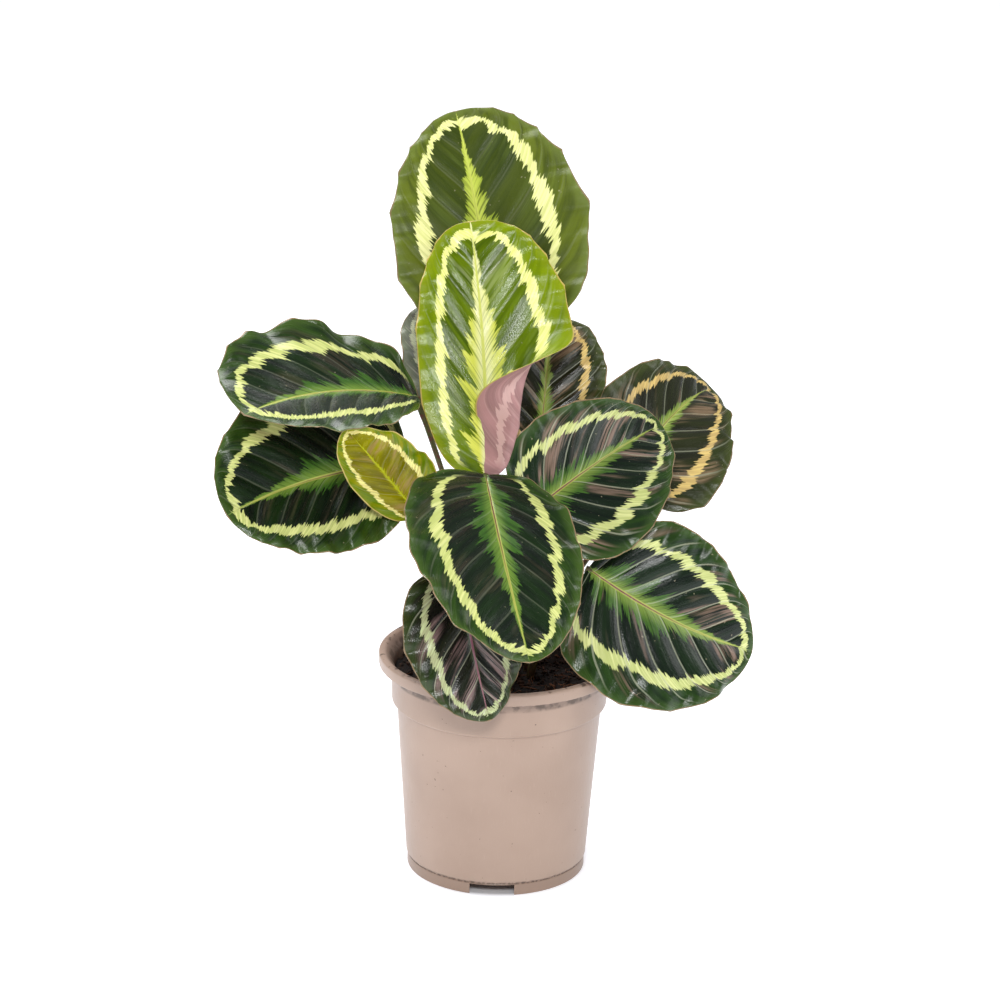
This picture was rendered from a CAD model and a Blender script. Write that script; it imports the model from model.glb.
import math
import numpy as np
import bpy
import bmesh
import mathutils
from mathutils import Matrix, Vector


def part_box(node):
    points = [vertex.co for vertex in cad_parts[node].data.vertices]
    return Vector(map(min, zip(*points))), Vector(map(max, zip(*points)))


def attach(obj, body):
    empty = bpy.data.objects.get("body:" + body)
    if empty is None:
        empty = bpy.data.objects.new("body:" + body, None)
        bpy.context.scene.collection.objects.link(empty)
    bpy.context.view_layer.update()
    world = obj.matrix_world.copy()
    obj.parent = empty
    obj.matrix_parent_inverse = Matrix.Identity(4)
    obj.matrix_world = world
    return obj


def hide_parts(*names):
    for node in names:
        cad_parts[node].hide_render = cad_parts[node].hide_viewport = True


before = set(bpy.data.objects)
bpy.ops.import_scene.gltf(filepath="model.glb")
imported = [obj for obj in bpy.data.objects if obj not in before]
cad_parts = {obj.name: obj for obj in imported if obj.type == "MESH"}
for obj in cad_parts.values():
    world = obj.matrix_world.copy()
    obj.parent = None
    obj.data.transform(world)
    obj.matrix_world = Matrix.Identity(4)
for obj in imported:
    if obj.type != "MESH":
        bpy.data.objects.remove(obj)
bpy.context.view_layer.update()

mm = 0.001
potLow, potHigh = (np.array(corner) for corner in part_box("pot"))
potAxis = (potLow + potHigh) / 2 * np.array([1, 1, 0])  # on the ground, under the pot
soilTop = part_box("soil")[1][2]


# mesh helpers

def makePiece(name, points, faces, materials, slots=None, smooth=True):
    # points (n, 3) in metres, faces as a list of index tuples or an array of quads
    mesh = bpy.data.meshes.new(name)
    mesh.from_pydata(np.asarray(points).tolist(), [], [tuple(int(i) for i in f) for f in faces])
    for material in materials:
        mesh.materials.append(material)
    if slots is not None:
        mesh.polygons.foreach_set("material_index", np.asarray(slots, dtype=np.int32))
    mesh.polygons.foreach_set("use_smooth", np.full(len(mesh.polygons), smooth))
    mesh.update()
    piece = bpy.data.objects.new(name, mesh)
    bpy.context.scene.collection.objects.link(piece)
    return piece


def addVector(piece, name, values):
    # one vector stored on every point, for the materials to read
    layer = piece.data.attributes.new(name, "FLOAT_VECTOR", "POINT")
    layer.data.foreach_set("vector", np.asarray(values, dtype=np.float32).ravel())


def gridFaces(rows, columns, start=0, flip=False, wrap=False):
    # quads of a grid stored row by row; wrap joins the last column to the first
    i, j = np.meshgrid(np.arange(rows - 1), np.arange(columns if wrap else columns - 1), indexing="ij")
    a = i * columns + j
    b = i * columns + (j + 1) % columns
    quads = np.stack([a, b, b + columns, a + columns], axis=-1).reshape(-1, 4) + start
    return quads[:, ::-1] if flip else quads


def smoothStep(x, low=0.0, high=1.0):
    # t t (3 - 2 t), with t running from 0 at low to 1 at high and held outside
    t = np.clip((np.asarray(x, dtype=float) - low) / (high - low), 0, 1)
    return t * t * (3 - 2 * t)


def waveNoise(x, y, seed, octaves=3):
    # sum of sines with random directions and phases, each octave twice as fine and half as high
    draw = np.random.default_rng(seed)
    total = np.zeros(np.broadcast(x, y).shape)
    for octave in range(octaves):
        for _ in range(4):
            angle, phase = draw.uniform(0, 2 * math.pi, 2)
            total = total + 0.5 ** octave * np.sin(
                2 ** octave * (x * math.cos(angle) + y * math.sin(angle)) + phase)
    return total / 4


def tubeAlong(path, radii, sides):
    # rings square to the path, each turned on from the last with the least twist; closed by end centres
    path = np.asarray(path, dtype=float)
    tangents = np.gradient(path, axis=0)
    tangents /= np.linalg.norm(tangents, axis=1)[:, None]
    first = np.cross(tangents[0], (0, 0, 1))
    if np.linalg.norm(first) < 1e-3:
        first = np.cross(tangents[0], (1, 0, 0))
    normals = [first / np.linalg.norm(first)]
    for tangent in tangents[1:]:
        normal = normals[-1] - tangent * normals[-1].dot(tangent)
        normals.append(normal / np.linalg.norm(normal))
    normals = np.array(normals)
    binormals = np.cross(tangents, normals)
    angle = np.linspace(0, 2 * math.pi, sides, endpoint=False)
    radii = np.broadcast_to(np.asarray(radii, dtype=float), (len(path), sides))
    rings = path[:, None] + radii[..., None] * (
        np.cos(angle)[None, :, None] * normals[:, None] + np.sin(angle)[None, :, None] * binormals[:, None])
    count = len(path) * sides
    points = np.concatenate([rings.reshape(-1, 3), path[:1], path[-1:]])
    faces = gridFaces(len(path), sides, wrap=True).tolist()
    last = count - sides
    for k in range(sides):
        faces.append((count, (k + 1) % sides, k))
        faces.append((count + 1, last + k, last + (k + 1) % sides))
    return points, faces


# node helpers

class Nodes:
    # a thin wrapper that adds nodes to one material and links them
    def __init__(self, name):
        self.material = bpy.data.materials.new(name)
        self.material.use_nodes = True
        self.tree = self.material.node_tree
        self.shader = self.tree.nodes["Principled BSDF"]

    def put(self, socket, value):
        if isinstance(value, bpy.types.NodeSocket):
            self.tree.links.new(value, socket)
        elif value is not None:
            socket.default_value = value

    def add(self, kind, inputs=(), **settings):
        # a node of this kind, with its settings made and its inputs filled in order
        node = self.tree.nodes.new("ShaderNode" + kind)
        for key, value in settings.items():
            setattr(node, key, value)
        for socket, value in zip(node.inputs, inputs):
            self.put(socket, value)
        return node

    def math(self, operation, a, b=None):
        return self.add("Math", (a, b), operation=operation).outputs[0]

    def plus(self, a, b):
        return self.math("ADD", a, b)

    def minus(self, a, b):
        return self.math("SUBTRACT", a, b)

    def times(self, a, b):
        return self.math("MULTIPLY", a, b)

    def distance(self, dx, dy):
        # the root of the summed squares
        return self.math("SQRT", self.plus(self.times(dx, dx), self.times(dy, dy)))

    def attribute(self, name):
        return self.add("Attribute", attribute_name=name).outputs["Vector"]

    def object(self):
        return self.add("TexCoord").outputs["Object"]

    def split(self, vector):
        return self.add("SeparateXYZ", (vector,)).outputs

    def join(self, x, y, z):
        return self.add("CombineXYZ", (x, y, z)).outputs[0]

    def noise(self, vector, scale, detail=2.0, rough=0.5):
        node = self.tree.nodes.new("ShaderNodeTexNoise")
        self.put(node.inputs["Vector"], vector)
        self.put(node.inputs["Scale"], scale)
        self.put(node.inputs["Detail"], detail)
        self.put(node.inputs["Roughness"], rough)
        return node.outputs["Fac"]

    def step(self, value, low, high, outLow=0.0, outHigh=1.0):
        # the smooth step from low to high, read as outLow to outHigh; low may be the larger
        inputs = (value, low, high, outLow, outHigh)
        return self.add("MapRange", inputs, interpolation_type="SMOOTHSTEP").outputs[0]

    def mix(self, factor, a, b):
        # a where the factor is 0, b where it is 1
        node = self.tree.nodes.new("ShaderNodeMix")
        node.data_type = "RGBA"
        node.clamp_factor = True
        for socket, item in zip((node.inputs[0], node.inputs[6], node.inputs[7]), (factor, a, b)):
            self.put(socket, colour(item) if isinstance(item, tuple) else item)
        return node.outputs[2]

    def bump(self, height, distance, strength):
        node = self.tree.nodes.new("ShaderNodeBump")
        self.put(node.inputs["Height"], height)
        self.put(node.inputs["Distance"], distance)
        self.put(node.inputs["Strength"], strength)
        return node.outputs[0]

    def set(self, **values):
        names = {
            "colour": "Base Color", "rough": "Roughness", "normal": "Normal", "specular": "Specular IOR Level",
            "glow": "Emission Strength", "glowColour": "Emission Color",
        }
        for key, value in values.items():
            self.put(self.shader.inputs[names[key]], colour(value) if isinstance(value, tuple) else value)
        return self.material


def colour(rgb):
    # 0-255 display values to linear
    c = np.array(rgb[:3]) / 255
    linear = np.where(c <= 0.04045, c / 12.92, ((c + 0.055) / 1.055) ** 2.4)
    return (*[float(v) for v in linear], 1.0)


# leaves

# finishes, in 0-255 display colours: what the dark leaves share, then each finish from its centre (deep,
# mid) out to its border and rim, with the ring, the feather along the rib and the rib's own core
matureLeaf = {"slot": "mature_leaf", "under": (97, 54, 63), "underRing": (142, 93, 95)}
leafFinishes = {
    "mature": {
        **matureLeaf, "deep": (8, 21, 11), "mid": (20, 42, 13), "border": (43, 70, 16),
        "rim": (73, 99, 39), "ring": (227, 231, 150), "ringEdge": (164, 180, 88),
        "feather": (60, 99, 33), "featherLight": (112, 144, 56), "rib": (178, 184, 88),
        "core": (112, 62, 62), "streak": (120, 104, 82), "streakAmount": 0.16, "veinLine": 0.1,
        "edge": (156, 128, 96), "rough": 0.27, "featherWidth": 0.24,
    },
    "streaked": {
        **matureLeaf, "deep": (7, 20, 12), "mid": (19, 39, 17), "border": (36, 63, 18),
        "rim": (65, 91, 39), "ring": (223, 228, 156), "ringEdge": (164, 178, 94),
        "feather": (66, 103, 37), "featherLight": (128, 154, 68), "rib": (176, 184, 92),
        "core": (126, 66, 78), "streak": (150, 124, 108), "streakAmount": 0.8, "veinLine": 0.42,
        "edge": (156, 128, 96), "rough": 0.25, "featherWidth": 0.22,
    },
    "tan": {
        **matureLeaf, "deep": (23, 26, 12), "mid": (40, 45, 20), "border": (49, 59, 22),
        "rim": (74, 84, 41), "ring": (229, 201, 124), "ringEdge": (172, 142, 92),
        "feather": (89, 120, 48), "featherLight": (150, 172, 80), "rib": (170, 178, 86),
        "core": (120, 84, 70), "streak": (158, 132, 104), "streakAmount": 0.6, "veinLine": 0.3,
        "edge": (146, 122, 92), "rough": 0.27, "featherWidth": 0.15,
    },
    "plum": {
        **matureLeaf, "deep": (14, 19, 13), "mid": (29, 35, 22), "border": (34, 54, 18),
        "rim": (65, 78, 41), "ring": (199, 212, 156), "ringEdge": (150, 146, 112),
        "feather": (43, 60, 37), "featherLight": (66, 76, 52), "rib": (150, 104, 112),
        "core": (142, 74, 104), "streak": (146, 120, 116), "streakAmount": 0.85, "veinLine": 0.4,
        "edge": (146, 122, 92), "rough": 0.25, "featherWidth": 0.1,
    },
    "silver": {
        **matureLeaf, "deep": (75, 82, 72), "mid": (114, 119, 109), "border": (101, 112, 94),
        "rim": (130, 138, 115), "ring": (199, 208, 171), "ringEdge": (160, 164, 140),
        "feather": (116, 130, 101), "featherLight": (150, 162, 128), "rib": (150, 150, 130),
        "core": (130, 120, 120), "streak": (170, 166, 160), "streakAmount": 0.6, "veinLine": 0.4,
        "edge": (146, 122, 92), "rough": 0.25, "featherWidth": 0.1,
    },
    "olive": {
        "slot": "olive_leaf", "specular": 0.24, "deep": (51, 66, 11), "mid": (71, 84, 18),
        "border": (100, 114, 26), "rim": (113, 128, 58), "ring": (255, 255, 178),
        "ringEdge": (200, 208, 110), "feather": (159, 180, 54), "featherLight": (198, 212, 84),
        "rib": (206, 216, 96), "core": (170, 180, 80), "streak": (120, 140, 60),
        "streakAmount": 0.2, "veinLine": 0.08, "under": (108, 69, 73), "underRing": (152, 106, 103),
        "edge": (140, 120, 84), "rough": 0.4, "featherWidth": 0.23,
    },
    "young": {
        "slot": "young_leaf", "specular": 0.24, "deep": (66, 88, 0), "mid": (104, 128, 0),
        "border": (126, 148, 4), "rim": (140, 156, 24), "ring": (255, 255, 171),
        "ringEdge": (210, 218, 90), "feather": (219, 223, 93), "featherLight": (242, 242, 176),
        "rib": (214, 220, 110), "core": (206, 212, 100), "streak": (206, 216, 150),
        "streakAmount": 0.3, "veinLine": 0.15, "under": (182, 136, 134),
        "underRing": (217, 179, 171), "edge": (200, 176, 96), "rough": 0.22, "featherWidth": 0.3,
    },
    "yellow": {
        "slot": "young_leaf", "specular": 0.18, "deep": (112, 107, 0), "mid": (148, 143, 0),
        "border": (83, 117, 4), "rim": (121, 136, 11), "ring": (253, 250, 160),
        "ringEdge": (196, 172, 92), "feather": (171, 175, 14), "featherLight": (196, 200, 40),
        "rib": (190, 194, 40), "core": (180, 184, 40), "streak": (176, 138, 92),
        "streakAmount": 0.5, "veinLine": 0.12, "under": (177, 132, 102),
        "underRing": (205, 167, 133), "edge": (206, 180, 110), "rough": 0.25, "featherWidth": 0.06,
    },
}

# each leaf in the pot's own axes, millimetres and degrees: base is where the blade meets its stalk,
# heading and pitch aim the midrib at mid-length, roll turns the blade about it, arch bends it down and
# sway sideways; left and right are half-widths, fold lifts a half blade and cup curves it on outwards; curl
# rolls the right half over within its band and is gone along the midrib by the end of fade
leaves = {
    "rear_tall": dict(
        base=(-7, 22, 263), heading=107, pitch=54, roll=-11, length=123, arch=8, sway=8,
        left=45, right=57, fold=(13, 22), cup=(-11, -3), shape=(0.4, 0.55), foot=(-1, 12),
        finish="olive", wave=(1.6, 1.6), waves=5, veins=7, scallop=0.05),
    "front_rolled": dict(
        base=(-9, -14, 207), heading=101, pitch=64, roll=-4, length=126, arch=10, sway=8,
        left=33, right=46, fold=(8, 14), cup=(-14, -10), shape=(0.37, 0.42), foot=(-3, -3),
        curl=205, fade=(0.2, 0.57), band=(0.3, 0.6),
        finish="young", wave=(1.8, 1.8), waves=5, veins=7, scallop=0.035),
    "left_upper": dict(
        base=(-43, 8, 240), heading=209, pitch=2, roll=4, length=95, arch=26, sway=30,
        left=54, right=48, fold=(2, 30), cup=(-15, 10), shape=(0.5, 0.42), foot=(-12, 5),
        finish="mature", wave=(1.0, 3.2), waves=3, veins=7, scallop=0.04),
    "left_lower": dict(
        base=(-47, 6, 206), heading=207, pitch=-8, roll=-40, length=98, arch=6, sway=26,
        left=42, right=49, fold=(6, 20), cup=(-18, 2), shape=(0.38, 0.48), foot=(-16, 0),
        finish="mature", wave=(1.6, 1.6), waves=4, veins=7, scallop=0.03),
    "left_inner": dict(
        base=(-42, -14, 188), heading=229, pitch=47, roll=-121, length=76, arch=-18, sway=0,
        left=17, right=27, fold=(26, 36), cup=(-8, -8), shape=(0.4, 0.4), foot=(-13, -8),
        finish="yellow", wave=(1.0, 1.0), waves=3, veins=6),
    "front_centre": dict(
        base=(-9, -22, 211), heading=284, pitch=-33, roll=-5, length=113, arch=18, sway=10,
        left=38, right=51, fold=(13, 16), cup=(-9, -5), shape=(0.4, 0.52), foot=(-4, -11),
        finish="mature", wave=(1.5, 1.5), waves=4, veins=7, scallop=0.02),
    "right_centre": dict(
        base=(12, -12, 188), heading=46, pitch=15, roll=43, length=99, arch=34, sway=-4,
        left=36, right=46, fold=(24, 12), cup=(3, -7), shape=(0.25, 0.68), foot=(6, -4),
        finish="streaked", wave=(1.4, 1.4), waves=4, veins=8),
    "right_rear": dict(
        base=(57, 32, 188), heading=62, pitch=13, roll=32, length=109, arch=49, sway=-15,
        left=36, right=42, fold=(21, 7), cup=(1, -12), shape=(0.25, 0.68), foot=(14, 7),
        finish="tan", wave=(1.6, 1.6), waves=4, veins=7, scallop=0.03),
    "right_lower": dict(
        base=(42, -7, 159), heading=5, pitch=-28, roll=58, length=96, arch=32, sway=32,
        left=44, right=51, fold=(19, 9), cup=(-3, -11), shape=(0.38, 0.68), foot=(15, -3),
        finish="streaked", wave=(2.2, 2.2), waves=4, veins=8, scallop=0.02),
    "back_upright": dict(
        base=(17, 27, 206), heading=80, pitch=68, roll=14, length=68, arch=10, sway=0,
        left=28, right=30, fold=(10, 10), cup=(-10, -20), shape=(0.45, 0.34), foot=(7, 6),
        finish="tan", wave=(2.2, 2.2), waves=3, veins=6, scallop=0.03),
    "back_left": dict(
        base=(-18, 34, 219), heading=128, pitch=52, roll=-8, length=64, arch=14, sway=0,
        left=25, right=29, fold=(12, 12), cup=(-10, -10), shape=(0.45, 0.5), foot=(-8, 11),
        finish="silver", wave=(1.5, 1.5), waves=3, veins=6),
    "front_low": dict(
        base=(-21, -37, 170), heading=294, pitch=-58, roll=0, length=78, arch=26, sway=18,
        left=30, right=34, fold=(-2, 6), cup=(-28, -20), shape=(0.48, 0.6), foot=(-10, -15),
        finish="plum", wave=(1.4, 1.4), waves=4, veins=7, scallop=0.03),
    "back_low_right": dict(
        base=(22, 36, 152), heading=72, pitch=-8, roll=0, length=80, arch=35, sway=0,
        left=32, right=32, fold=(12, 12), cup=(-10, -10), shape=(0.42, 0.55), foot=(7, 15),
        finish="mature", wave=(1.5, 1.5), waves=4, veins=7),
    "back_low_left": dict(
        base=(-16, 36, 160), heading=112, pitch=-2, roll=0, length=80, arch=35, sway=0,
        left=32, right=32, fold=(12, 12), cup=(-10, -10), shape=(0.42, 0.55), foot=(-4, 18),
        finish="mature", wave=(1.5, 1.5), waves=4, veins=7),
}

blade = {
    "rows": 150, "columns": 44, "curveSteps": 32,
    "thickness": 0.55, "marginThickness": 0.3, "edgeBulge": 0.4, "endHalfWidth": 0.8,
    "veinSweep": 0.9, "veinBend": 0.5, "veinCrowding": 0.6, "sideShift": 0.37,
    "corrugation": 0.75, "fineCorrugation": 0.06, "swell": 0.9,
    "ribDepth": 1.0, "ribWidth": 1.1, "grooveDepth": 0.25, "grooveWidth": 0.7,
    "scallop": 0.015, "marginNoise": 0.01,
    "ringReach": 0.66, "tipStretch": 0.945,  # the ring's level at the tip, and where the tip is taken to be
    "leafCount": 40, "sideCount": 20,  # added to the vein count so that no two half blades look alike
}


def turned(vector, axis, degrees):
    # Rodrigues: the vector turned about a unit axis
    a = math.radians(degrees)
    return (vector * math.cos(a) + np.cross(axis, vector) * math.sin(a)
            + axis * axis.dot(vector) * (1 - math.cos(a)))


def midrib(leaf, s):
    # the tangent turns evenly by arch and sway from base to tip, and its steps are summed
    h, p = math.radians(leaf["heading"]), math.radians(leaf["pitch"])
    along = np.array([math.cos(p) * math.cos(h), math.cos(p) * math.sin(h), math.sin(p)])
    square = np.array([-math.sin(p) * math.cos(h), -math.sin(p) * math.sin(h), math.cos(p)])
    up = turned(square, along, leaf["roll"])
    across = np.cross(along, up)
    fine = np.linspace(0, 1, 401)
    bend = np.radians(leaf["arch"]) * (0.5 - fine)
    turn = np.radians(leaf["sway"]) * (0.5 - fine)
    tangent = (np.outer(np.cos(bend) * np.cos(turn), along) + np.outer(np.sin(bend), up)
               + np.outer(np.cos(bend) * np.sin(turn), across))
    tangent /= np.linalg.norm(tangent, axis=1)[:, None]
    steps = (tangent[1:] + tangent[:-1]) / 2 / (len(fine) - 1)
    point = np.concatenate([np.zeros((1, 3)), np.cumsum(steps, axis=0)]) * leaf["length"] + leaf["base"]
    normal = np.cross(across, tangent)
    normal /= np.linalg.norm(normal, axis=1)[:, None]
    side = np.cross(tangent, normal)

    def pick(values):
        return np.stack([np.interp(s, fine, values[:, k]) for k in range(3)], axis=-1)
    return pick(point), pick(tangent), pick(side), pick(normal)


def veinPlace(s, t):
    # where along the midrib the side vein through (s, t) starts: a map that keeps both ends in place
    sweep = blade["veinSweep"] * t ** blade["veinBend"]
    return s * (1 - sweep) / (1 - sweep * s)


def leafSheet(leaf, s, u, seed):
    # half-width (s/peak)^a ((1-s)/(1-peak))^b with a small point at each vein's end; across, the surface
    # climbs at fold + cup v + curl, is summed from the midrib, and its face turns with the climb
    a, b = leaf["shape"]
    peak = a / (a + b)
    t = np.abs(u)
    onRight = u > 0
    lanes = leaf["veins"] * veinPlace(s, t) ** blade["veinCrowding"]
    lanes = lanes + np.where(onRight, blade["sideShift"], 0)
    points = (1 - np.abs(np.sin(math.pi * lanes))) ** 1.5
    outline = (s / peak) ** a * ((1 - s) / (1 - peak)) ** b
    scallop = leaf.get("scallop", blade["scallop"])
    rough = blade["marginNoise"] * waveNoise(9 * s, 3 * u, seed, 2)
    outline = outline * (1 - scallop * (0.75 - points) + rough)
    halfWidth = np.maximum(np.where(onRight, leaf["right"], leaf["left"]) * outline, blade["endHalfWidth"])
    fold = np.radians(np.where(onRight, leaf["fold"][1], leaf["fold"][0]))
    cup = np.radians(np.where(onRight, leaf["cup"][1], leaf["cup"][0]))
    fade, band = leaf.get("fade", (0, 1)), leaf.get("band", (0, 1))
    curl = np.where(onRight, math.radians(leaf.get("curl", 0)), 0) * (1 - smoothStep(s, *fade))
    steps = blade["curveSteps"]
    out, rise = np.zeros(s.shape), np.zeros(s.shape)
    for k in range(steps):
        v = (k + 0.5) / steps * t
        climb = fold + cup * v + curl * smoothStep(v, *band)
        out += np.cos(climb) * halfWidth * t / steps
        rise += np.sin(climb) * halfWidth * t / steps
    climb = fold + cup * t + curl * smoothStep(t, *band)
    point, _, side, normal = midrib(leaf, s)
    sheet = point + (np.sign(u) * out)[..., None] * side + rise[..., None] * normal
    face = np.cos(climb)[..., None] * normal - (np.sign(u) * np.sin(climb))[..., None] * side
    return sheet, face, halfWidth, lanes


def sheetNormals(sheet):
    # square to the two directions of the grid
    down = np.gradient(sheet, axis=0)
    over = np.gradient(sheet, axis=1)
    normal = np.cross(over, down)
    return normal / np.maximum(np.linalg.norm(normal, axis=-1), 1e-12)[..., None]


def bladeRelief(leaf, s, u, lanes, halfWidth, seed):
    # furrows along the veins, long ripples that grow to the margin and slow swells; all fade at the ends
    t = np.abs(u)
    wave, fine = np.cos(2 * math.pi * lanes), np.cos(8 * math.pi * lanes)
    across = np.sin(math.pi * np.clip(t, 0, 1) ** 0.8) ** 0.7
    relief = 0.35 * blade["corrugation"] * (1 - wave) - blade["corrugation"] * np.maximum(wave, 0) ** 3
    uneven = 0.75 + 0.5 * waveNoise(lanes, 2 * u, seed + 3, 1)
    relief = (relief * uneven - blade["fineCorrugation"] * fine) * across
    ripple = np.sin(2 * math.pi * (leaf["waves"] * s + 0.2 * (seed % 5)) + np.where(u > 0, 1.9, 0))
    shorter = 2 * math.pi * (2.3 * leaf["waves"] * s) + seed + np.where(u > 0, 0.7, 0)
    ripple = ripple + 0.45 * np.sin(shorter)
    reach = np.where(u > 0, leaf["wave"][1], leaf["wave"][0])
    relief = relief + reach * ripple * t ** 4 * smoothStep(halfWidth, 4, 24)
    relief = relief + blade["swell"] * waveNoise(3 * s, 2.2 * u, seed + 7, 2) * smoothStep(t, 0.05, 0.4)
    hold = smoothStep(s, 0.35, 0.7) if "curl" in leaf else 1.0
    return relief * smoothStep(s, 0, 0.08) * smoothStep(1 - s, 0, 0.06) * (0.35 + 0.65 * hold)


def makeBlade(name, leaf, seed, materials):
    # rows along the midrib and columns out to both margins, closer together at the ends and the rib; the
    # sheet is given its relief, then half its thickness either way, a groove above and a rib below
    rows, columns = blade["rows"], blade["columns"]
    s1 = 0.35 * (1 - np.cos(np.linspace(0, math.pi, rows))) / 2 + 0.65 * np.linspace(0, 1, rows)
    half = np.linspace(0, 1, columns + 1) ** 1.15
    u1 = np.concatenate([-half[:0:-1], half])
    s, u = np.meshgrid(s1, u1, indexing="ij")
    t = np.abs(u)
    sheet, face, halfWidth, lanes = leafSheet(leaf, s, u, seed)
    sheet = sheet + bladeRelief(leaf, s, u, lanes, halfWidth, seed)[..., None] * face
    normal = sheetNormals(sheet)
    x = t * halfWidth
    extra = blade["thickness"] - blade["marginThickness"]
    thick = blade["marginThickness"] + extra * smoothStep(1 - t, 0, 0.5)
    ribFade = (1 - s) ** 0.6 * smoothStep(1 - s, 0, 0.1)
    rib = blade["ribDepth"] * ribFade * np.exp(-(x / blade["ribWidth"]) ** 2)
    groove = blade["grooveDepth"] * ribFade * np.exp(-(x / blade["grooveWidth"]) ** 2)
    top = sheet + (thick / 2 - groove)[..., None] * normal
    bottom = sheet - (thick / 2 + rib)[..., None] * normal
    # a row of points a little outside the margin keeps the edge round
    wide = len(u1)
    count = rows * wide
    index = np.arange(count).reshape(rows, wide)
    around = np.concatenate([index[0, :-1], index[:-1, -1], index[-1, :0:-1], index[:0:-1, 0]])
    within = np.concatenate([index[1, :-1], index[:-1, -2], index[-2, :0:-1], index[:0:-1, 1]])
    flat = sheet.reshape(-1, 3)
    outward = flat[around] - flat[within]
    outward /= np.maximum(np.linalg.norm(outward, axis=1), 1e-6)[:, None]
    edge = flat[around] + outward * blade["marginThickness"] * blade["edgeBulge"]
    points = np.concatenate([top.reshape(-1, 3), bottom.reshape(-1, 3), edge]) * mm + potAxis
    k = np.arange(len(around))
    after = np.roll(k, -1)
    faces = [
        gridFaces(rows, wide), gridFaces(rows, wide, start=count, flip=True),
        np.stack([2 * count + k, 2 * count + after, around[after], around], axis=-1),
        np.stack([count + around, count + around[after], 2 * count + after, 2 * count + k], axis=-1)]
    slots = np.repeat([0, 1, 2], [len(faces[0]), len(faces[1]), 2 * len(around)])
    piece = makePiece("leaf_" + name, points, np.concatenate(faces), materials, slots)
    # pattern places: a running vein count that differs on each side and leaf, the signed fraction to the
    # margin and the fraction to the tip; then the ring's level and, twice, the distance to the margin
    running = lanes + blade["leafCount"] * seed + np.where(u > 0, blade["sideCount"], 0)
    tip = blade["ringReach"] * (s / blade["tipStretch"]) ** 4
    level = (t ** 4 + tip ** 4) ** 0.25 + 0.4 * np.clip((0.05 - s) / 0.05, 0, None)
    margin = np.minimum((1 - t) * halfWidth, (1 - s) * leaf["length"])
    first = np.stack([running, u, s], -1).reshape(-1, 3)
    second = np.stack([level, margin, margin], -1).reshape(-1, 3)
    addVector(piece, "veinPlace", np.concatenate([first, first, first[around]]))
    addVector(piece, "ringPlace", np.concatenate([second, second, second[around]]))
    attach(piece, "root")
    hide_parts("blade_" + name)


class LeafPattern:
    # places shared by a leaf's materials: vein count, a out to the margin, s to the tip, ring level, margin
    def __init__(self, n):
        self.n = n
        self.veins, u, self.s = n.split(n.attribute("veinPlace"))[:3]
        self.level, self.margin = n.split(n.attribute("ringPlace"))[:2]
        self.a = n.math("ABSOLUTE", u)
        self.phase = n.math("FRACT", self.veins)

    def lane(self, across, along, z=0.0, detail=2.0):
        # noise drawn out along the veins
        n = self.n
        place = n.join(n.times(self.veins, across), n.times(self.a, along), z)
        return n.noise(place, 1.0, detail)

    def swing(self, across, along, z, amount):
        # the same noise about nought
        n = self.n
        return n.times(n.minus(self.lane(across, along, z), 0.5), amount)

    def ring(self):
        # a band of arcs, one from vein to vein, drawn in at each vein and toothed along the veins
        n = self.n
        bow = n.math("SQRT", n.math("SINE", n.times(self.phase, math.pi)))
        arc = n.times(n.minus(bow, 0.8), 0.085)
        middle = n.plus(n.plus(arc, self.swing(0.7, 0.5, 1.0, 0.16)), 0.655)
        d = n.minus(self.level, middle)
        half = n.plus(self.swing(1.7, 0.6, 3.0, 0.09), 0.058)
        teeth = n.plus(self.swing(13.0, 1.5, 5.0, 0.22), self.swing(4.0, 0.8, 6.0, 0.16))
        inner = n.plus(n.plus(d, half), teeth)
        outer = n.plus(n.minus(half, d), self.swing(15.0, 2.0, 9.0, 0.17))
        mask = n.times(n.step(inner, -0.008, 0.008), n.step(outer, -0.008, 0.008))
        return n.times(mask, n.step(self.s, 0.03, 0.08)), d

    def feather(self, width):
        # light barbs that leave the midrib along the veins, shorter towards the tip
        n = self.n
        reach = n.times(n.step(self.s, 0.95, 0.2, 0.1, 1.0), n.step(self.s, 0.0, 0.12, 0.4, 1.0))
        lobes = n.plus(n.times(self.lane(2.4, 0.5, 12.0), 3.4), -0.75)
        barbs = n.plus(n.times(lobes, width), self.swing(16.0, 1.2, 14.0, 0.42))
        return n.step(n.minus(n.times(barbs, reach), self.a), -0.012, 0.012)

    def veinLines(self):
        # a thin line on each side vein
        n = self.n
        off = n.minus(0.5, n.math("ABSOLUTE", n.minus(self.phase, 0.5)))
        return n.times(n.step(off, 0.05, 0.015), n.step(self.a, 0.98, 0.8))


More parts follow.
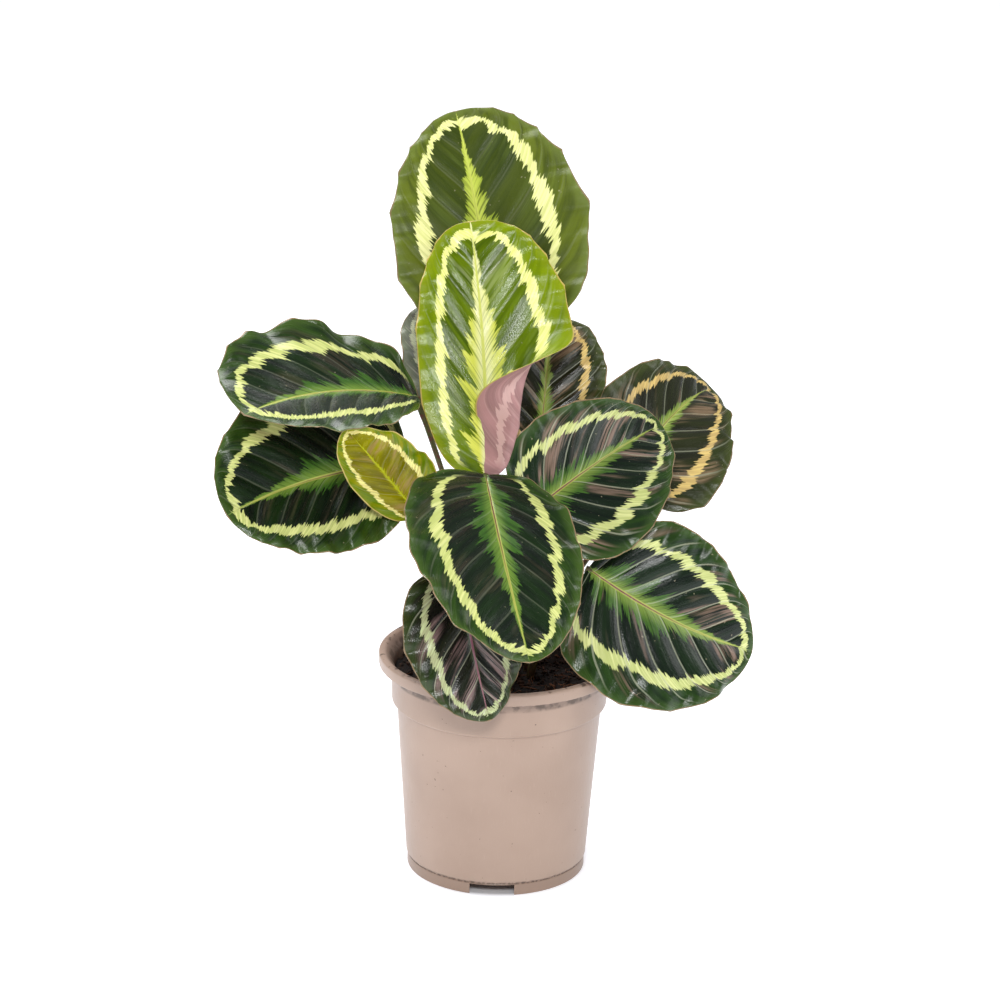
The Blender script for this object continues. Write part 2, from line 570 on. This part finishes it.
def upperMaterial(name, f):
    # colours laid one over another: centre, border, dull streaks, feather, ring, veins, rib, margin, flecks
    n = Nodes("leafUpper_" + name)
    p = LeafPattern(n)
    ring, d = p.ring()
    tone = n.mix(n.step(p.lane(2.6, 1.0, 20.0), 0.35, 0.68), f["deep"], f["mid"])
    tone = n.mix(n.times(n.step(p.lane(15.0, 1.0, 22.0), 0.45, 0.7), 0.4), tone, f["mid"])
    border = n.mix(n.step(p.lane(3.0, 2.0, 30.0, 4.0), 0.36, 0.66), f["border"], f["mid"])
    border = n.mix(n.times(n.step(p.margin, 6.0, 0.5), 0.7), border, f["rim"])
    tone = n.mix(n.step(d, -0.01, 0.04), tone, border)
    streaks = n.times(n.step(p.lane(1.3, 1.1, 26.0), 0.5, 0.62), n.step(p.lane(9.0, 1.5, 28.0), 0.36, 0.6))
    streaks = n.times(streaks, n.times(n.step(p.margin, 1.0, 9.0), f["streakAmount"]))
    tone = n.mix(streaks, tone, f["streak"])
    barb = n.mix(n.step(p.a, 0.02, 0.16), f["featherLight"], f["feather"])
    darkBarbs = n.times(n.step(p.lane(10.0, 1.0, 33.0), 0.46, 0.68), 0.7)
    tone = n.mix(p.feather(f["featherWidth"]), tone, n.mix(darkBarbs, barb, f["mid"]))
    shade = n.mix(n.step(p.lane(12.0, 2.0, 36.0), 0.34, 0.62), f["ring"], f["ringEdge"])
    tone = n.mix(ring, tone, n.mix(0.4, shade, f["ring"]))
    tone = n.mix(n.times(p.veinLines(), f["veinLine"]), tone, (196, 200, 172))
    wide = n.times(p.a, n.step(p.s, 1.0, 0.0, 1.2, 0.8))
    keep = n.step(p.s, 0.97, 0.88)
    tone = n.mix(n.times(n.step(wide, 0.026, 0.014), keep), tone, f["rib"])
    tone = n.mix(n.times(n.step(wide, 0.011, 0.004), n.step(p.s, 0.85, 0.2)), tone, f["core"])
    tone = n.mix(n.step(p.margin, 0.6, 0.2), tone, f["edge"])
    flecks = n.step(n.noise(n.object(), 520.0, 1.0), 0.76, 0.79)
    tone = n.mix(n.times(flecks, 0.35), tone, (190, 180, 150))
    height = n.plus(n.times(p.lane(22.0, 2.5, 40.0), 0.8), n.noise(n.object(), 1400.0, 2.0))
    normal = n.bump(height, 0.00018, 0.55)
    rough = n.step(p.lane(6.0, 4.0, 44.0), 0.3, 0.7, f["rough"] - 0.09, f["rough"] + 0.05)
    return n.set(colour=tone, rough=rough, normal=normal, specular=f.get("specular", 0.36))


def underMaterial(name, f):
    # one dull colour with the ring and the veins showing through faintly
    n = Nodes("leafUnder_" + name)
    p = LeafPattern(n)
    ring, _ = p.ring()
    darker = tuple(int(c * 0.82) for c in f["under"])
    tone = n.mix(n.step(p.lane(3.0, 1.0, 20.0), 0.3, 0.7), f["under"], darker)
    tone = n.mix(n.times(ring, 0.75), tone, f["underRing"])
    tone = n.mix(n.times(n.step(p.lane(16.0, 1.0, 22.0), 0.5, 0.7), 0.3), tone, f["underRing"])
    tone = n.mix(n.step(p.a, 0.03, 0.012), tone, f["rib"])
    tone = n.mix(n.step(p.margin, 0.9, 0.35), tone, f["edge"])
    height = n.plus(n.times(p.lane(18.0, 2.5, 40.0), 0.9), n.noise(n.object(), 1300.0, 2.0))
    return n.set(colour=tone, rough=0.5, normal=n.bump(height, 0.0002, 0.6), specular=0.4)


def edgeMaterial(name, f):
    # the thin margin, between the colours of its edge and its rim
    n = Nodes("leafEdge_" + name)
    tone = n.mix(n.step(n.noise(n.object(), 240.0), 0.35, 0.65), f["edge"], f["rim"])
    return n.set(colour=tone, rough=0.5)


finishes = {}
for name, f in leafFinishes.items():
    finishes[name] = (upperMaterial(name, f), underMaterial(name, f), edgeMaterial(name, f))
for index, (name, leaf) in enumerate(leaves.items()):
    makeBlade(name, leaf, index + 1, finishes[leaf["finish"]])
print("blades done")


# stalks

# radii in millimetres; foot is the sheath's, joint the one under the blade, and bury how far it starts
# below the soil's surface
stalk = {
    "steps": 60, "sides": 16, "radius": 1.35, "foot": 2.3, "joint": 1.75, "pull": 0.42, "lean": 0.35,
    "bury": 6, "sheathWide": 0.35, "furrow": 0.3, "furrowWidth": 0.4,
}


def stalkMaterial():
    # dark, faintly hairy and striped along its length, greener towards the top
    n = Nodes("stalkSkin")
    x, y, z = n.split(n.object())[:3]
    stripes = n.join(n.times(x, 900.0), n.times(y, 900.0), n.times(z, 60.0))
    grain = n.noise(stripes, 1.0, 3.0)
    tone = n.mix(n.step(grain, 0.35, 0.65), (70, 52, 36), (96, 92, 48))
    tone = n.mix(n.step(z, 0.16, 0.24), tone, (92, 98, 50))
    tone = n.mix(n.step(n.noise(n.object(), 300.0), 0.55, 0.7), tone, (112, 66, 58))
    return n.set(colour=tone, rough=0.45, normal=n.bump(grain, 0.0003, 0.5))


def makeStalk(name, leaf, material):
    # a cubic curve from the soil, upright, into the blade's base; thick in its sheath and at the joint
    base, tangent, _, normal = (v[0] for v in midrib(leaf, np.array([0.0, 0.01])))
    lean = stalk["lean"] if tangent[2] > 0 else 0.0
    arrival = np.array([lean * tangent[0], lean * tangent[1], 1.0])
    arrival /= np.linalg.norm(arrival)
    start = np.array([*leaf["foot"], soilTop / mm - stalk["bury"]])
    end = base - normal * 0.6
    reach = stalk["pull"] * np.linalg.norm(end - start)
    w = np.linspace(0, 1, stalk["steps"])[:, None]
    path = ((1 - w) ** 3 * start + 3 * (1 - w) ** 2 * w * (start + [0, 0, reach])
            + 3 * (1 - w) * w ** 2 * (end - arrival * reach) + w ** 3 * end)
    path = np.concatenate([path, end + tangent * np.array([[1.6], [3.4], [5.4]]) - normal * 0.3])
    d = np.concatenate([[0], np.cumsum(np.linalg.norm(np.diff(path, axis=0), axis=1))])
    far = d[-1] - d
    radius = stalk["radius"] + (stalk["foot"] - stalk["radius"]) * (1 - smoothStep(d, 5, 55))
    joint = (stalk["joint"] - stalk["radius"]) * smoothStep(far, 1, 7)
    radius = radius + joint * (1 - smoothStep(far, 12, 20))
    radius = radius * (0.35 + 0.65 * smoothStep(far, 0, 4.5))
    angle = np.linspace(0, 2 * math.pi, stalk["sides"], endpoint=False)
    # the sheath: the lower stalk is wider one way, with a furrow down its front
    sheath = (1 - smoothStep(d, 20, 60))[:, None]
    furrow = stalk["furrow"] * np.exp(-((angle - math.pi / 2) / stalk["furrowWidth"]) ** 2)
    section = 1 + sheath * (stalk["sheathWide"] * np.cos(angle) ** 2 - furrow)
    points, faces = tubeAlong(path * mm + potAxis, radius[:, None] * section * mm, stalk["sides"])
    piece = makePiece("stalk_of_" + name, points, faces, [material])
    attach(piece, "root")
    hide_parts("stalk_" + name)


stalkSkin = stalkMaterial()
for name, leaf in leaves.items():
    makeStalk(name, leaf, stalkSkin)
print("stalks done")


# pot

# millimetres and degrees, heights from the ground
pot = {
    "footRadius": 44.2, "bodyBottom": 44.8, "bodyTop": 50.6, "collar": 53.4, "lip": 60.0, "lipTop": 3.5,
    "wall": 1.3, "footHeight": 6.0, "floor": 1.4, "collarAt": 87.0, "lipUnder": 106.0, "height": 112.0,
    "sides": 160, "ringSpacing": 6, "sharpAngle": 40,
    "notches": 3, "notchWidth": 22.0, "notchDepth": 8, "notchRoof": 0.6, "notchAngle": -92.0,
    "drains": 6, "drainRadius": 4.0, "drainCircle": 30.0, "drainAngle": 30,
}
# where the dirt begins and ends, in metres: heights, and the radius inside which the lip is splashed
dirtAt = {
    "lipLow": (0.1058, 0.106), "lipHigh": (0.1064, 0.1061), "footLow": (0.0052, 0.006),
    "footHigh": (0.0076, 0.0066), "rim": (0.1110, 0.1117), "footRing": (0.0066, 0.0058),
    "insideRadius": (0.0555, 0.054), "insideLow": (0.0995, 0.101),
}


def roundedOutline(corners, arcSteps=5):
    # corners are (radius, height, fillet): each fillet is a quadratic curve between its two tangent points
    line = []
    for i, (r, z, fillet) in enumerate(corners):
        here = np.array([r, z], dtype=float)
        if fillet == 0:
            line.append(here)
            continue
        before, after = np.array(corners[i - 1][:2]) - here, np.array(corners[i + 1][:2]) - here
        p = here + before / np.linalg.norm(before) * fillet
        q = here + after / np.linalg.norm(after) * fillet
        for w in np.linspace(0, 1, arcSteps):
            line.append((1 - w) ** 2 * p + 2 * (1 - w) * w * here + w ** 2 * q)
    return np.array(line)


def turnedSurface(outline, sides):
    # the outline turned about Z; its first and last points are on the axis and become single points
    angle = np.linspace(0, 2 * math.pi, sides, endpoint=False)
    body = outline[1:-1]
    rings = np.stack([body[:, :1] * np.cos(angle), body[:, :1] * np.sin(angle),
                      np.repeat(body[:, 1:], sides, axis=1)], axis=-1).reshape(-1, 3)
    count = len(rings)
    points = np.concatenate([rings, [[0, 0, outline[0, 1]], [0, 0, outline[-1, 1]]]])
    faces = gridFaces(len(body), sides, wrap=True).tolist()
    k = np.arange(sides)
    after = (k + 1) % sides
    faces += np.stack([np.full(sides, count), after, k], -1).tolist()
    last = count - sides
    faces += np.stack([np.full(sides, count + 1), last + k, last + after], -1).tolist()
    return points, faces


def potMaterial():
    # moulded semi-gloss plastic: soft flow clouds, fine scuffs up the wall, dirt specks and a dirty line
    # under the lip and above the foot ring
    n = Nodes("potPlastic")
    place = n.object()
    x, y, z = n.split(place)[:3]
    dx = n.minus(x, float(potAxis[0]))
    dy = n.minus(y, float(potAxis[1]))
    turn = n.math("ARCTAN2", dy, dx)
    cloud = n.noise(place, 26.0, 3.0)
    tone = n.mix(n.step(cloud, 0.3, 0.7), (166, 142, 126), (174, 150, 134))
    scuffs = n.noise(n.join(n.times(turn, 70.0), n.times(z, 160.0), 0.0), 1.0, 4.0)
    tone = n.mix(n.times(n.step(scuffs, 0.58, 0.72), 0.12), tone, (196, 174, 158))
    speckField = n.noise(place, 620.0, 1.0)
    specks = n.times(n.step(speckField, 0.765, 0.79), n.step(n.noise(place, 60.0), 0.44, 0.56))
    tone = n.mix(n.times(specks, 0.85), tone, (62, 48, 38))
    grime = n.noise(n.join(n.times(turn, 26.0), n.times(z, 500.0), 4.0), 1.0, 4.0)
    under = n.times(n.step(z, *dirtAt["lipLow"]), n.step(grime, 0.38, 0.55))
    under = n.times(under, n.step(z, *dirtAt["lipHigh"]))
    above = n.times(n.step(z, *dirtAt["footLow"]), n.step(z, *dirtAt["footHigh"]))
    low = n.times(above, n.step(grime, 0.35, 0.6))
    rim = n.times(n.step(z, *dirtAt["rim"]), n.step(n.noise(place, 240.0, 3.0), 0.56, 0.68))
    lines = n.math("MAXIMUM", n.times(under, 0.8), n.times(low, 0.9))
    dirt = n.math("MAXIMUM", lines, rim)
    tone = n.mix(n.step(z, *dirtAt["footRing"]), tone, (150, 126, 110))
    tone = n.mix(n.times(dirt, 0.8), tone, (60, 44, 34))
    radius = n.distance(dx, dy)
    inside = n.times(n.step(radius, *dirtAt["insideRadius"]), n.step(z, *dirtAt["insideLow"]))
    splash = n.times(inside, n.step(n.noise(place, 190.0, 3.0), 0.4, 0.62, 0.25, 0.9))
    tone = n.mix(splash, tone, (96, 80, 68))
    rough = n.step(scuffs, 0.3, 0.75, 0.34, 0.46)
    height = n.plus(n.noise(place, 900.0, 2.0), n.times(n.noise(place, 70.0, 2.0), 0.8))
    return n.set(colour=tone, rough=rough, normal=n.bump(height, 0.00012, 0.35), specular=0.5)


def makePot(material):
    # the outline runs from the axis under the floor, out round the foot, up the wall and over the lip, and
    # back down inside; notches and drains are boxes and short cylinders taken away from the turned body
    p = pot
    w, foot, ring = p["wall"], p["footRadius"], p["footHeight"]
    outline = roundedOutline([
        (0, ring - 0.5, 0), (foot - w, ring - 0.5, 0.5), (foot - w, 0, 0.4), (foot, 0, 0.5),
        (foot, ring - 0.5, 0.3), (foot - 0.35, ring + 0.1, 0.2), (p["bodyBottom"], ring + 0.9, 0.4),
        (p["bodyTop"], p["collarAt"] - 0.9, 0.5), (p["collar"] - 0.2, p["collarAt"] + 0.3, 0.8),
        (p["collar"], p["lipUnder"], 0.6), (p["lip"] - 0.2, p["lipUnder"] - 0.1, 0.7),
        (p["lip"], p["height"] - 0.1, 1.3), (p["lip"] - p["lipTop"], p["height"], 1.2),
        (p["collar"] - w, p["lipUnder"], 1.5), (p["collar"] - w, p["collarAt"] + w, 0.6),
        (p["bodyTop"] - w, p["collarAt"], 0.6), (p["bodyBottom"] - w, ring + p["floor"], 1.5),
        (0, ring + p["floor"], 0),
    ])
    # long straight stretches get rings of their own
    dense = [outline[0]]
    for start, end in zip(outline[:-1], outline[1:]):
        pieces = max(1, int(np.linalg.norm(end - start) / p["ringSpacing"]))
        dense += [start + (end - start) * k / pieces for k in range(1, pieces + 1)]
    points, faces = turnedSurface(np.array(dense), p["sides"])
    piece = makePiece("nurseryPot", points * mm + potAxis, faces, [material])
    cutters = bmesh.new()
    for k in range(p["notches"]):
        angle = math.radians(p["notchAngle"] + 360 * k / p["notches"])
        made = bmesh.ops.create_cube(cutters, size=1.0)["verts"]
        size = (p["notchDepth"] * mm, p["notchWidth"] * mm, 2 * (p["footHeight"] - p["notchRoof"]) * mm)
        bmesh.ops.scale(cutters, vec=size, verts=made)
        bmesh.ops.translate(cutters, vec=(p["footRadius"] * mm, 0, 0), verts=made)
        turnOntoPot(cutters, made, angle)
    for k in range(p["drains"]):
        angle = math.radians(p["notchAngle"] + p["drainAngle"] + 360 * k / p["drains"])
        made = bmesh.ops.create_cone(cutters, cap_ends=True, segments=24, radius1=p["drainRadius"] * mm,
                                     radius2=p["drainRadius"] * mm, depth=6 * mm)["verts"]
        bmesh.ops.translate(cutters, vec=(p["drainCircle"] * mm, 0, p["footHeight"] * mm), verts=made)
        turnOntoPot(cutters, made, angle)
    mesh = bpy.data.meshes.new("potCutters")
    cutters.to_mesh(mesh)
    cutters.free()
    cutter = bpy.data.objects.new("potCutters", mesh)
    bpy.context.scene.collection.objects.link(cutter)
    cut = piece.modifiers.new("cut", "BOOLEAN")
    cut.object = cutter
    cut.solver = "EXACT"
    bpy.context.view_layer.update()
    result = piece.evaluated_get(bpy.context.evaluated_depsgraph_get())
    made = bpy.data.meshes.new_from_object(result)
    piece.modifiers.clear()
    piece.data = made
    bpy.data.objects.remove(cutter)
    made.set_sharp_from_angle(angle=math.radians(p["sharpAngle"]))
    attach(piece, "root")
    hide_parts("pot")


def turnOntoPot(bm, verts, angle):
    # turned about the pot's axis and moved onto it
    bmesh.ops.rotate(bm, cent=(0, 0, 0), matrix=mathutils.Matrix.Rotation(angle, 3, "Z"), verts=verts)
    bmesh.ops.translate(bm, vec=tuple(potAxis), verts=verts)


makePot(potMaterial())
print("pot done")


# soil

soil = {
    "radius": 51.6, "depth": 14.0, "rings": 90, "sides": 260, "taper": 0.995,
    "crumbs": {"count": 1100, "seed": 21},
    "fibres": {"count": 170, "seed": 31, "length": 9.0, "thick": 0.16},
    "chips": {"count": 60, "seed": 37, "length": 4.0, "thick": 0.55},
}


def soilMaterial(name, dark, light, scale):
    # two tones mixed by one noise, with finer brown grains over them
    n = Nodes(name)
    place = n.object()
    grain = n.noise(place, scale, 5.0, 0.65)
    tone = n.mix(n.step(grain, 0.36, 0.66), dark, light)
    tone = n.mix(n.step(n.noise(place, scale * 2.5, 2.0), 0.68, 0.76), tone, (96, 60, 38))
    return n.set(colour=tone, rough=0.85, normal=n.bump(grain, 0.0006, 0.8), specular=0.25)


def soilHeight(x, y):
    # lumps of several sizes, dished a little round the stalks and higher against the wall
    lumps = 0.9 * waveNoise(x / 7, y / 7, 5, 4) + 0.8 * np.abs(waveNoise(x / 2.4, y / 2.4, 8, 3))
    return soilTop / mm - 1.2 + lumps + 1.6 * smoothStep(np.hypot(x, y), 34, 50)


def makeSoil(material):
    # a disc of rings with its height displaced, then a plain wall and underside
    r = np.linspace(0.6, soil["radius"], soil["rings"])[:, None]
    a = np.linspace(0, 2 * math.pi, soil["sides"], endpoint=False)[None]
    x, y = r * np.cos(a), r * np.sin(a)
    top = np.stack([x, y, soilHeight(x, y)], -1)
    wall = top[-1:].copy()
    wall[..., 2] = soilTop / mm - soil["depth"]
    wall[..., :2] *= soil["taper"]
    rings = np.concatenate([top, wall]).reshape(-1, 3)
    count = len(rings)
    centres = [[0, 0, soilHeight(0.0, 0.0)], [0, 0, soilTop / mm - soil["depth"]]]
    points = np.concatenate([rings, centres]) * mm + potAxis
    faces = gridFaces(soil["rings"] + 1, soil["sides"], wrap=True, flip=True).tolist()
    k = np.arange(soil["sides"])
    after = (k + 1) % soil["sides"]
    faces += np.stack([np.full(len(k), count), k, after], -1).tolist()
    last = count - soil["sides"]
    faces += np.stack([np.full(len(k), count + 1), last + after, last + k], -1).tolist()
    piece = makePiece("soilBed", points, faces, [material])
    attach(piece, "root")
    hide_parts("soil")


def scatter(count, seed):
    # places spread evenly over the soil's disc
    draw = np.random.default_rng(seed)
    r = soil["radius"] * 0.985 * np.sqrt(draw.uniform(0.02, 1, count))
    a = draw.uniform(0, 2 * math.pi, count)
    x, y = r * np.cos(a), r * np.sin(a)
    return draw, x, y, soilHeight(x, y)


def makeCrumbs(material):
    # small lumps: one low ball, each copy stretched, dented and turned its own way
    ball = bmesh.new()
    bmesh.ops.create_icosphere(ball, subdivisions=1, radius=1.0)
    unit = np.array([v.co[:] for v in ball.verts])
    tris = np.array([[v.index for v in f.verts] for f in ball.faces])
    ball.free()
    draw, x, y, z = scatter(soil["crumbs"]["count"], soil["crumbs"]["seed"])
    size = 0.45 + 1.5 * draw.uniform(0, 1, len(x)) ** 3
    keep = np.hypot(x, y) + size < soil["radius"]
    x, y, z, size = x[keep], y[keep], z[keep], size[keep]
    dents = draw.uniform(0.65, 1.25, (len(x), len(unit), 1))
    stretch = draw.uniform(0.6, 1.3, (len(x), 1, 3))
    lumps = unit[None] * dents * stretch * size[:, None, None] * np.array([1, 1, 0.8])
    lumps += np.stack([x, y, z + size * 0.25], -1)[:, None]
    faces = tris[None] + (np.arange(len(x)) * len(unit))[:, None, None]
    piece = makePiece("soilCrumbs", lumps.reshape(-1, 3) * mm + potAxis, faces.reshape(-1, 3), [material],
                      smooth=False)
    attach(piece, "root")


def makeFibres(name, strand, material):
    # thin bent strands: short arcs lying on the soil, each a tube of a few sides
    draw, x, y, _ = scatter(strand["count"], strand["seed"])
    points, faces, start = [], [], 0
    w = np.linspace(-0.5, 0.5, 6)
    for k in range(strand["count"]):
        if math.hypot(x[k], y[k]) > soil["radius"] - 4:
            continue
        heading, bow = draw.uniform(0, 2 * math.pi), draw.uniform(-0.9, 0.9)
        size = draw.uniform(0.5, 1.0) * strand["length"]
        px = x[k] + size * (w * math.cos(heading) - bow * w ** 2 * math.sin(heading))
        py = y[k] + size * (w * math.sin(heading) + bow * w ** 2 * math.cos(heading))
        inside = np.minimum(1, (soil["radius"] - 1) / np.hypot(px, py))
        px, py = px * inside, py * inside
        pz = soilHeight(px, py) + 0.3 + draw.uniform(0, 0.9) + draw.uniform(-1, 1) * w * 1.6
        p, f = tubeAlong(np.stack([px, py, pz], -1), strand["thick"] * draw.uniform(0.6, 1.2), 4)
        points.append(p)
        faces += [tuple(i + start for i in face) for face in f]
        start += len(p)
    piece = makePiece(name, np.concatenate(points) * mm + potAxis, faces, [material])
    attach(piece, "root")


makeSoil(soilMaterial("peat", (7, 5, 5), (34, 24, 18), 420.0))
makeCrumbs(soilMaterial("peatCrumb", (14, 10, 8), (64, 44, 32), 300.0))
makeFibres("soilFibres", soil["fibres"], soilMaterial("fibre", (84, 50, 32), (132, 90, 60), 200.0))
makeFibres("soilChips", soil["chips"], soilMaterial("bark", (58, 36, 24), (104, 68, 46), 200.0))
print("soil done")


# stage, light and camera

# metres, degrees and watts; the camera's place is measured from the pot's axis, and the floor glows from
# glowFrom out to glowTo, but not under the foot
stage = {
    "size": 8.0, "floor": (236, 237, 241), "glow": (0.5, 0.66), "glowColour": (248, 250, 255),
    "footShade": 0.041, "glowFrom": 0.046, "glowTo": 0.3,
    "camera": (-0.0018, -2.0129, 0.8839), "pitch": 19.0, "roll": 1.3, "lens": 157.1, "sensor": 36.0,
    "world": 0.26,
}
lamps = {
    "frontLamp": dict(place=(0.05, -1.8, 1.35), target=(0, 0, 0.15), size=(0.5, 0.4), watts=23),
    "topLamp": dict(place=(-0.4, 0.7, 1.6), target=(0, 0, 0.2), size=(1.2, 0.6), watts=22),
    "sideLamp": dict(place=(1.3, -0.2, 0.9), target=(0, 0, 0.2), size=(0.5, 0.9), watts=5),
    "fillLamp": dict(place=(-1.3, -0.1, 0.8), target=(0, 0, 0.2), size=(0.5, 0.9), watts=4),
}


def makeFloor():
    # a square of paper whose glow grows with the distance from the pot's axis
    half = stage["size"] / 2
    n = Nodes("paper")
    x, y = n.split(n.object())[:2]
    dx = n.minus(x, float(potAxis[0]))
    dy = n.minus(y, float(potAxis[1]))
    away = n.distance(dx, dy)
    shade = n.step(away, stage["glowFrom"], stage["glowTo"], *stage["glow"])
    glow = n.times(shade, n.step(away, stage["footShade"], stage["glowFrom"]))
    paper = n.set(colour=stage["floor"], rough=0.9, glow=glow, glowColour=stage["glowColour"])
    corners = [(-half, -half, 0), (half, -half, 0), (half, half, 0), (-half, half, 0)]
    floor = makePiece("floor", corners, [(0, 1, 2, 3)], [paper])


def makeLamp(name, place, target, size, watts):
    # a white panel at place, facing target
    lamp = bpy.data.lights.new(name, "AREA")
    lamp.shape = "RECTANGLE"
    lamp.size, lamp.size_y = size
    lamp.energy = watts
    holder = bpy.data.objects.new(name, lamp)
    holder.location = place
    toward = mathutils.Vector(target) - mathutils.Vector(place)
    holder.rotation_euler = toward.to_track_quat("-Z", "Y").to_euler()
    bpy.context.scene.collection.objects.link(holder)


def makeCamera():
    # stands back from the plant and looks down at it, leaning a little to one side
    pitch, roll = math.radians(stage["pitch"]), math.radians(stage["roll"])
    camera = bpy.data.cameras.new("camera")
    camera.lens = stage["lens"]
    camera.sensor_width = stage["sensor"]
    camera.clip_end = 20.0
    holder = bpy.data.objects.new("camera", camera)
    turn = mathutils.Matrix.Rotation(math.pi / 2 - pitch, 4, "X") @ mathutils.Matrix.Rotation(roll, 4, "Z")
    holder.matrix_world = mathutils.Matrix.Translation(tuple(potAxis + stage["camera"])) @ turn
    bpy.context.scene.collection.objects.link(holder)
    bpy.context.scene.camera = holder


makeFloor()
makeCamera()
for name, lamp in lamps.items():
    makeLamp(name, **lamp)
world = bpy.data.worlds.new("studio")
world.use_nodes = True
background = world.node_tree.nodes["Background"]
background.inputs["Color"].default_value = (1, 1, 1, 1)
background.inputs["Strength"].default_value = stage["world"]
bpy.context.scene.world = world
bpy.context.scene.view_settings.view_transform = "Standard"
